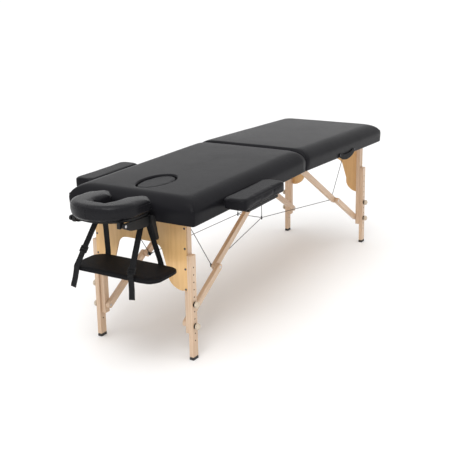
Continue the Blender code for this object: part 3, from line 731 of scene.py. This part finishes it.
place("cradle_cushion_seams", merged(cushion_seams, "cushion_seams"), "cradle_head", "black_vinyl", VINYL)

# ---- armrests

for where, word in SIDES:
    start, end, inner, outer, low, high = 0.425, 0.760, 0.318, 0.420, 0.030, 0.076
    middle_y, half_y = where * (inner + outer) / 2, (outer - inner) / 2
    outline = rounded_outline(-end + 0.002, -start - 0.002, half_y - 0.002, 0.019, middle_y)
    form = slab_mesh(outline, low + 0.0012, high - 0.0022, 0.0085, 0.005)
    mesh = moved(puffed(form, 0.0042, 2.5, 0.0020, smoothing=2), rise_turn)
    pad = place(f"armrest_pad_cover_{word}", mesh, f"armrest_{word}", "black_vinyl", VINYL,
                replaces=[f"armrest_pad_{word}"])
    seams = []
    for rise in (high - 0.0085, low + 0.0075):
        line = [rise_turn @ Vector((x, y, rise)) for x, y in
                rounded_outline(-end - 0.003, -start + 0.003, half_y + 0.003, 0.021, middle_y)]
        seams.append(seam_mesh(mesh, line, 0.0011, True))
    for x in (-end, -start):
        line = [rise_turn @ Vector((x, middle_y - where * 0.032, high - 0.0085 - 0.0032 * step))
                for step in range(10)]
        seams.append(seam_mesh(mesh, line, 0.0006))
    place(f"armrest_seams_{word}", merged(seams, "armrest_seams"), f"armrest_{word}", "black_vinyl", VINYL)

# ---- arm shelf

shelf_low, shelf_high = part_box("arm_shelf")
shelf_y, shelf_half_y = (shelf_high[1] + shelf_low[1]) / 2, (shelf_high[1] - shelf_low[1]) / 2
shelf_outline = rounded_outline(shelf_low[0] + 0.002, shelf_high[0] - 0.002, shelf_half_y - 0.002, 0.053,
                                shelf_y)
shelf_form = slab_mesh(shelf_outline, shelf_low[2] + 0.003, shelf_high[2] - 0.003, 0.005, 0.005)
shelf_mesh = puffed(shelf_form, 0.0045, 1.6, 0.0022, smoothing=3)
shelf = place("arm_shelf_pad", shelf_mesh, "arm_shelf", "black_vinyl", SHELF_VINYL, replaces=["arm_shelf"])
piping = []
for level in (shelf_high[2] - 0.005, shelf_low[2] + 0.005):
    line = [(x, y, level) for x, y in
            rounded_outline(shelf_low[0] - 0.003, shelf_high[0] + 0.003, shelf_half_y + 0.003, 0.055, shelf_y)]
    piping.append(seam_mesh(shelf_mesh, line, 0.0013, True))
place("arm_shelf_piping", merged(piping, "shelf_piping"), "arm_shelf", "black_vinyl", VINYL)

# ---- straps and buckles

BAR = Vector(JOINTS["arm_shelf_swing"]["pos_m"])
STRAP_Y, STRAP_LEAN = 0.100, 0.030 / 0.2
STRAP_TURN = 0.0103


def strap_point(where, x, drop):
    """A point on a strap's middle line, from the crossbar's axis."""
    return Vector((BAR.x + x, where * (STRAP_Y + STRAP_LEAN * max(-drop, 0)), BAR.z + drop))


def strap_route():
    route = [(-0.1453, -0.270), (-0.1363, -0.230), (-0.1333, -0.211), (-0.1333, -0.189)]
    route += [(STRAP_TURN * math.cos(math.radians(angle)), STRAP_TURN * math.sin(math.radians(angle)))
              for angle in range(145, 14, -13)]
    return route + [(0.0543, -0.189), (0.0543, -0.211)]


def strap_mesh(where):
    """A ribbed webbing strap along its route, with thicker woven edges."""
    corners = [strap_point(where, x, z) for x, z in strap_route()]
    path = [corners[0]]
    for before, after in zip(corners, corners[1:]):
        count = max(1, round((after - before).length / 0.006))
        path += [before.lerp(after, step / count) for step in range(1, count + 1)]
    half, thick, rim = STRAP_WIDTH / 2, 0.0008, 0.0024
    edge = [(half, 0.0), (half - 0.0006, thick), (half - rim, thick * 1.15), (half - rim * 1.5, thick * 0.8)]
    section = [(-across, height) for across, height in edge] + [(0, thick * 0.85)] + edge[::-1]
    section += [(across, -height) for across, height in section[-2:0:-1]]
    rings = []
    for index, point in enumerate(path):
        ahead, behind = path[min(index + 1, len(path) - 1)], path[max(index - 1, 0)]
        along = (ahead - behind).normalized()
        side_way = Vector((0, 1, 0))
        side_way = (side_way - along * side_way.dot(along)).normalized()
        out = along.cross(side_way)
        ripple = 0.0003 * math.sin(index * 0.9) * min(1.0, max(0.0, BAR.z - point.z - 0.03) / 0.05)
        rings.append([point + side_way * across + out * (height + ripple) for across, height in section])
    return ring_form(rings, "strap")


def block(size, centre, turn, ease=0.0008):
    """A bar with eased edges."""
    bm = bmesh.new()
    bmesh.ops.create_cube(bm, size=1.0)
    bmesh.ops.scale(bm, vec=size, verts=bm.verts)
    bmesh.ops.bevel(bm, geom=bm.edges[:], offset=min(ease, min(size) * 0.4), segments=3, profile=0.5,
                    affect="EDGES")
    mesh = finish_mesh(bm, "block", 35)
    return moved(mesh, Matrix.Translation(centre) @ turn.to_4x4())


def buckle_meshes(centre, along, out):
    """A ladder-lock buckle around a strap, its bars across the strap."""
    across = along.cross(out).normalized()
    turn = Matrix((across, along, out)).transposed()
    pieces = []
    for edge in (-1, 1):
        spot = centre + across * edge * (STRAP_WIDTH / 2 + 0.0020)
        pieces.append(block((0.0030, 0.026, 0.0052), spot, turn))
    for place_y, lift, depth in ((-0.0115, 0.0012, 0.0034), (0.0, 0.0030, 0.0028), (0.0115, 0.0012, 0.0034)):
        pieces.append(block((STRAP_WIDTH + 0.006, depth, 0.0030), centre + along * place_y + out * lift, turn))
    spot = centre - along * 0.019 + out * 0.0034
    return pieces + [block((STRAP_WIDTH - 0.006, 0.009, 0.0016), spot, turn, 0.0006)]


for where, word in SIDES:
    place(f"shelf_webbing_{word}", strap_mesh(where), "arm_shelf", "webbing", WEBBING,
          replaces=[f"shelf_strap_{word}"])
    top, low = strap_point(where, -0.009, 0.006), strap_point(where, -0.1333, -0.189)
    along = (top - low).normalized()
    out = along.cross(Vector((0, 1, 0))).normalized()
    out *= -1 if out.x > 0 else 1
    buckle = buckle_meshes(low.lerp(top, 0.10 if where == NEAR else 0.30), along, out)
    place(f"strap_buckle_{word}", merged(buckle, "buckle"), "arm_shelf", "black_metal", BLACK_PLASTIC)
    threads = []
    side_way = along.cross(out).normalized()
    for share in (0.55, 0.60):
        spot = low.lerp(top, share) + out * 0.0011
        for step in range(9):
            middle = spot + side_way * (step - 4) * 0.0028
            threads.append(tube([middle - side_way * 0.0009, middle + side_way * 0.0009], 0.0003, 5))
    for share in (-1, 1):
        threads.append(stitch_mesh(*[low.lerp(top, at) + out * 0.0011 + side_way * share * 0.0105
                                     for at in (0.55, 0.60)]))
    place(f"strap_stitching_{word}", merged(threads, "strap_threads"), "arm_shelf", "webbing", THREAD)

# ---- wooden frame pieces

def timber(node, body, slot, material):
    return place(f"{node}_timber", softened_mesh(node, 0.0013), body, slot, material, replaces=[node])


def pivot_pair(label):
    """The upper and the lower pivot of one end's braces."""
    return [Vector(JOINTS[f"{label}_{part}_brace_swing"]["pos_m"]) for part in ("upper", "lower")]


HOLE_REACH = 0.0048
KNEE = {side: Vector((HINGE.x + side * KNEE_OUT, 0, KNEE_Z)) for side in (HEAD, FOOT)}
for side, label in ENDS:
    upper_pivot, lower_pivot = pivot_pair(label)
    upper_wood, lower_wood = (
        wood_material(f"maple_{label}_{part}", MAPLE_LIGHT, MAPLE_DARK, math.atan2(way.z, way.x))
        for part, way in (("upper", upper_pivot - KNEE[side]), ("lower", KNEE[side] - lower_pivot)))
    for where, word in SIDES:
        timber(f"{label}_upper_leg_{word}", f"{label}_legs", "maple", MAPLE_UP)
        extension = timber(f"{label}_leg_extension_{word}", f"{label}_{word}_extension", "maple", MAPLE_UP)
        extension.data.materials.append(SHADOW)
        low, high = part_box(f"{label}_leg_extension_{word}")
        hole_x = (low[0] + high[0]) / 2
        for face in extension.data.polygons:
            inside = abs(face.center.x - hole_x) < HOLE_REACH and low[2] + 0.03 < face.center.z < high[2] - 0.01
            if inside and (abs(face.normal.y) < 0.6) and low[1] - 1e-4 < face.center.y < high[1] + 1e-4:
                face.material_index = 1
        timber(f"{label}_upper_brace_{word}", f"{label}_upper_braces", "maple", upper_wood)
        timber(f"{label}_lower_brace_{word}", f"{label}_lower_braces", "maple", lower_wood)
        place(f"{label}_rubber_boot_{word}", softened_mesh(f"{label}_rubber_foot_{word}", 0.0015),
              f"{label}_{word}_extension", "rubber", RUBBER, replaces=[f"{label}_rubber_foot_{word}"])
    panel = softened_mesh(f"{label}_end_panel", 0.0011)
    place(f"{label}_end_panel_board", panel, f"{label}_legs", "plywood", PLY_FACE, PLY_EDGE,
          replaces=[f"{label}_end_panel"])
    for face in panel.polygons:
        face.material_index = 0 if abs(face.normal.x) > 0.75 else 1
    for part, material in (("deck", PLY_FLAT), ("side_rail_near", MAPLE_FLAT), ("side_rail_far", MAPLE_FLAT),
                           ("end_rail", MAPLE_FLAT), ("hinge_rail", MAPLE_FLAT), ("brace_rail", MAPLE_FLAT),
                           ("hinge_leaf", BRASS)):
        node = NODES[f"{label}_{part}"]
        if not node.material_slots:
            node.data.materials.append(material)
        for slot in node.material_slots:
            slot.material = material

# ---- knobs, bolts and screws

def dome(base, height, radius, steps):
    """A dome's (distance along, radius) profile, from above its rim to its top."""
    angles = [math.radians(90 * step / steps) for step in range(1, steps)]
    return [(base + (height - base) * math.sin(angle), radius * math.cos(angle))
            for angle in angles] + [(height, 0)]


def dome_bolt(start, way, radius, height, flange):
    """A low domed bolt head on a washer."""
    return lathe([(-0.0006, 0.0), (-0.0006, flange), (0.0006, flange), (0.0008, radius)]
                 + dome(0.0008, height, radius, 5), start, way, "bolt", 24)


def flush_disc(start, way, radius=0.0055):
    """A bolt's end, level with the wood."""
    return lathe([(-0.0010, 0.0), (-0.0010, radius), (0.0001, radius), (0.00015, radius * 0.8), (0.00015, 0.0)],
                 start, way, "disc", 24)


def at_y(point, y):
    return Vector((point.x, y, point.z))


for side, label in ENDS:
    for where, word in SIDES:
        for number in (1, 2):
            node = f"{label}_knob_{word}_{number}"
            low, high = (Vector(corner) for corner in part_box(node))
            start = at_y((low + high) / 2, low.y if where == FAR else high.y)
            length, radius = high.y - low.y, (high.x - low.x) / 2
            grip = [(0.0044, 0.0)] + [(along, radius * share) for along, share in (
                (0.0044, 0.66), (0.0052, 0.70), (0.0062, 0.90), (0.0080, 0.985), (0.0105, 1.0), (0.0130, 0.985))]
            grip += dome(0.0130, length, radius * 0.985, 7)
            place(f"{node}_grip", lathe(grip, start, (0, where, 0)), node, "ivory_knob", KNOB, replaces=[node])
            washer = [(along, radius * share) for along, share in (
                (0.0, 0.0), (0.0, 0.80), (0.0012, 0.84), (0.0020, 0.80), (0.0022, 0.56), (0.0045, 0.54),
                (0.0046, 0.0))]
            place(f"{node}_nut", lathe(washer, start, (0, where, 0)), node, "black_metal", BLACK_PLASTIC)

UPPER_BRACE_FACES, LOWER_BRACE_FACES, LEG_FACES = (0.1650, 0.1832), (0.1835, 0.2014), (0.2017, 0.2217)
PANEL_FACE_OUT, PANEL_SCREW_Y = 0.8643, 0.2145
SCREW_HEIGHTS = (0.534, 0.454, 0.372, 0.290)
for side, label in ENDS:
    upper_pivot, lower_pivot = pivot_pair(label)
    leg_pivot = Vector(JOINTS[f"{label}_leg_fold"]["pos_m"])
    knee = KNEE[side]
    screws, upper_bolts, lower_bolts = [], [], []
    for where in (NEAR, FAR):
        outward, inward = (0, where, 0), (0, -where, 0)
        for height in SCREW_HEIGHTS:
            spot = Vector((HINGE.x + side * PANEL_FACE_OUT, where * PANEL_SCREW_Y, height))
            screws.append(dome_bolt(spot, (side, 0, 0), 0.0034, 0.0016, 0.0045))
        screws.append(flush_disc(at_y(lower_pivot, where * LEG_FACES[1]), outward))
        screws.append(dome_bolt(at_y(leg_pivot, where * LEG_FACES[0]), inward, 0.0055, 0.0026, 0.0080))
        for pivot, face, way in ((knee, UPPER_BRACE_FACES[0], inward),
                                 (upper_pivot, UPPER_BRACE_FACES[1], outward)):
            upper_bolts.append(dome_bolt(at_y(pivot, where * face), way, 0.0050, 0.0024, 0.0075))
        lower_bolts.append(flush_disc(at_y(knee, where * LOWER_BRACE_FACES[1]), outward))
        lower_bolts.append(flush_disc(at_y(lower_pivot, where * LOWER_BRACE_FACES[0]), inward))
    place(f"{label}_leg_screws", merged(screws, "screws"), f"{label}_legs", "steel", DARK_STEEL)
    place(f"{label}_upper_brace_bolts", merged(upper_bolts, "bolts"), f"{label}_upper_braces", "steel", STEEL)
    place(f"{label}_lower_brace_bolts", merged(lower_bolts, "bolts"), f"{label}_lower_braces", "steel", STEEL)

# ---- cables

CABLE_Y, JOIN_Y, JOIN_Z, HOOK_Z = 0.158, 0.066, 0.335, 0.5745
CABLE_END_OUT, CABLE_END_Z = 0.810, 0.5920
SPLIT = 0.10


def cable_point(x, y, z):
    return Vector((HINGE.x + x, y, z))


def cable(start, end, count):
    return tube(between(start, end, count), CABLE_RADIUS, 10)


def eye_mesh(centre, radius, wire, across):
    """A closed ring of wire that stands upright."""
    angles = [math.tau * step / 24 for step in range(24)]
    return tube([centre + radius * (Vector(across) * math.sin(angle) + Vector((0, 0, math.cos(angle))))
                 for angle in angles], wire, 8, "eye", True)


def spool(rim, centre, way, steps):
    """A turned collar from one half's (distance along, radius) pairs, mirrored."""
    profile = [(-along, radius) for along, radius in rim] + rim[::-1]
    return lathe(profile, centre, way, "collar", steps)


central, fittings = [], []
for where in (NEAR, FAR):
    join, hook = (cable_point(0, where * JOIN_Y, z) for z in (JOIN_Z, HOOK_Z))
    for side in (HEAD, FOOT):
        knee = cable_point(side * KNEE_OUT, where * CABLE_Y, KNEE_Z)
        central.append(cable(join, join.lerp(knee, SPLIT / KNEE_OUT), 6))
    central.append(cable(join, hook, 12))
    fittings.append(spool([(0.009, 0), (0.009, 0.0026), (0.007, 0.0034)], join, (0, 0, 1), 16))
    fittings.append(eye_mesh(hook - Vector((0, 0, 0.002)), 0.0042, 0.0010, (0, 1, 0)))
    fittings.append(lathe([(0, 0), (0, 0.0024), (0.013, 0.0024), (0.013, 0)], hook - Vector((0, 0, 0.020)),
                          (0, 0, 1), "crimp", 16))
central.append(cable(cable_point(0, -JOIN_Y, JOIN_Z), cable_point(0, JOIN_Y, JOIN_Z), 10))
middle_cable = place("middle_brace_cable", merged(central, "middle_cable"), None, "steel", CABLE,
                     replaces=["brace_cable_net"])
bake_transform(middle_cable)
middle_fittings = place("middle_cable_fittings", merged(fittings, "fittings"), None, "steel", DARK_STEEL)
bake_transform(middle_fittings)

KNEE_CRIMP = [(0.002, 0), (0.002, 0.0028), (0.004, 0.0034), (0.0115, 0.0034), (0.0130, 0.0026), (0.0130, 0)]
for side, label in ENDS:
    for where, word in SIDES:
        join = cable_point(0, where * JOIN_Y, JOIN_Z)
        knee = cable_point(side * KNEE_OUT, where * CABLE_Y, KNEE_Z)
        split = join.lerp(knee, SPLIT / KNEE_OUT)
        anchor = cable_point(side * CABLE_END_OUT, where * CABLE_Y, CABLE_END_Z)
        for part, start, count in (("inner", split, 24), ("outer", anchor, 20)):
            piece = place(f"{label}_{part}_cable_{word}", cable(start, knee, count), None, "steel", CABLE,
                          replaces=["brace_cable_net"])
            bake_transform(piece)
        crimps = [lathe(KNEE_CRIMP, knee, (start - knee).normalized(), "crimp", 16) for start in (split, anchor)]
        crimps.append(spool([(0.0030, 0), (0.0030, 0.0062), (0.0022, 0.0070)], knee, (0, 1, 0), 20))
        place(f"{label}_knee_crimps_{word}", merged(crimps, "crimps"), f"{label}_upper_braces", "black_metal",
              BLACK_PAINT)
        # The screw eye's shank ends inside the rail above it.
        shank_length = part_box(f"{label}_deck")[0][2] + 0.012 - anchor.z - 0.004
        shank = lathe([(0, 0), (0, 0.0020), (shank_length, 0.0020), (shank_length, 0)],
                      anchor + Vector((0, 0, 0.005)), (0, 0, 1), "shank", 16)
        screw_eye = merged([eye_mesh(anchor, 0.0050, 0.0012, (1, 0, 0)), shank], "screw_eye")
        place(f"{label}_screw_eye_{word}", screw_eye, f"{label}_section", "steel", STEEL)

# ---- cradle hardware

for node, body in (("cradle_base", "cradle_base"), ("cradle_platform", "cradle_head"),
                   ("cam_lever", "cam_lever")):
    place(f"{node}_metal", softened_mesh(node, 0.0008), body, "black_metal", BLACK_PAINT, replaces=[node])
for where, word in SIDES:
    place(f"armrest_bracket_plate_{word}", softened_mesh(f"armrest_bracket_{word}", 0.0008), f"armrest_{word}",
          "black_metal", BLACK_PAINT, replaces=[f"armrest_bracket_{word}"])
tilt_axis = Vector(JOINTS["cradle_tilt"]["pos_m"])
cradle_bolts, post_rings = [], []
for where in (NEAR, FAR):
    cradle_bolts.append(dome_bolt(at_y(tilt_axis, where * 0.1300), (0, where, 0), 0.0036, 0.0024, 0.0055))
    cradle_bolts.append(dome_bolt(at_y(BAR, where * 0.1305), (0, where, 0), 0.0050, 0.0030, 0.0070))
    post_rings.append(lathe([(0.0, 0.0130), (0.0012, 0.0134), (0.0024, 0.0120), (0.0028, 0.0085)],
                            (HINGE.x - SECTION_LENGTH - 0.0020, where * 0.078, 0.587), (-1, 0, 0), "rosette"))
place("cradle_bolts", merged(cradle_bolts, "cradle_bolts"), "cradle_base", "steel", STEEL)
place("post_sockets", merged(post_rings, "post_sockets"), "head_section", "black_metal", BLACK_PLASTIC)

# ---- carry handles

def handle_mesh(side, first, second, sag):
    """A padded carry strap that hangs between two bolts on the near side."""
    start, end = (section_point(side, u, 0, rise) for u, rise in (first, second))
    path = []
    for step in range(33):
        share = step / 32
        spot = start.lerp(end, share)
        spot.z -= sag * (1 - (2 * share - 1) ** 2) ** 0.8
        spot.y = -HALF_WIDTH - 0.0055 - 0.002 * math.sin(math.pi * share)
        path.append(spot)
    rings = []
    for index, point in enumerate(path):
        along = (path[min(index + 1, 32)] - path[max(index - 1, 0)]).normalized()
        up = Vector((0, -1, 0)).cross(along).normalized()
        share = index / 32
        half = 0.0115 + 0.0030 * math.sin(math.pi * share)
        thick = 0.0013 + 0.0010 * math.sin(math.pi * share) ** 0.5
        rings.append([point + up * half * math.cos(angle) + Vector((0, -1, 0)) * thick * math.sin(angle)
                      for angle in (math.tau * step / 16 for step in range(16))])
    return ring_form(rings, "handle")


for side, first, second, sag in ((FOOT, (0.369, 0.016), (0.544, 0.018), 0.019),
                                (HEAD, (0.266, 0.018), (0.441, 0.018), 0.020)):
    label = dict(ENDS)[side]
    place(f"{label}_carry_handle", handle_mesh(side, first, second, sag), f"{label}_section", "webbing",
          WEBBING)
    bolts = []
    for u, rise in (first, second):
        spot = section_point(side, u, 0, rise)
        spot.y = -HALF_WIDTH - 0.0066
        bolts.append(dome_bolt(spot, (0, -1, 0), 0.0036, 0.0024, 0.0056))
    place(f"{label}_handle_bolts", merged(bolts, "handle_bolts"), f"{label}_section", "steel", DARK_STEEL)

# ---- floor, lights and the camera

bm = bmesh.new()
bmesh.ops.create_grid(bm, x_segments=8, y_segments=8, size=60.0)
floor_mesh = finish_mesh(bm, "floor", 180)
floor = linked("studio_floor", floor_mesh)
floor_mesh.materials.append(floor_material())

world = bpy.data.worlds.new("studio")
world.use_nodes = True
world.node_tree.nodes["Background"].inputs["Color"].default_value = (1.0, 1.0, 1.0, 1.0)
world.node_tree.nodes["Background"].inputs["Strength"].default_value = 0.84
bpy.context.scene.world = world


def soft_light(name, spot, target, width, power):
    light = bpy.data.lights.new(name, "AREA")
    light.shape = "RECTANGLE"
    light.size, light.size_y = width
    light.energy = power
    lamp = linked(name, light)
    lamp.location = spot
    lamp.rotation_euler = (Vector(target) - Vector(spot)).to_track_quat("-Z", "Y").to_euler()


soft_light("key", (-2.6, -1.0, 3.1), (-0.2, 0, 0.5), (1.6, 1.6), 42)
sun = bpy.data.lights.new("sky_panel", "SUN")
sun.energy, sun.angle = 1.15, math.radians(60)
sun_lamp = linked("sky_panel", sun)
sun_lamp.rotation_euler = Vector((0.28, 0.02, -1.2)).to_track_quat("-Z", "Y").to_euler()

CAMERA_AT = Vector((-3.3136266 + HINGE.x, -1.9167483, 1.4404553))
AZIMUTH, DROP, ROLL = -1.0161986, 0.2374214, -0.0191193
LENS_MM, SENSOR_MM, SHIFT_UP = 66.05, 36.0, -0.1
back = Vector((math.sin(AZIMUTH) * math.cos(DROP), -math.cos(AZIMUTH) * math.cos(DROP), math.sin(DROP)))
right = Vector((math.cos(AZIMUTH), math.sin(AZIMUTH), 0))
up = back.cross(right)
right, up = (math.cos(ROLL) * right + math.sin(ROLL) * up, math.cos(ROLL) * up - math.sin(ROLL) * right)
turn = Matrix((right, up, back)).transposed()
camera_data = bpy.data.cameras.new("photo_view")
camera_data.lens, camera_data.sensor_width = LENS_MM, SENSOR_MM
camera_data.shift_y = SHIFT_UP
camera_data.clip_end = 200
camera = linked("photo_view", camera_data)
camera.matrix_world = Matrix.Translation(CAMERA_AT) @ turn.to_4x4()
bpy.context.scene.camera = camera
bpy.context.scene.view_settings.view_transform = "Standard"
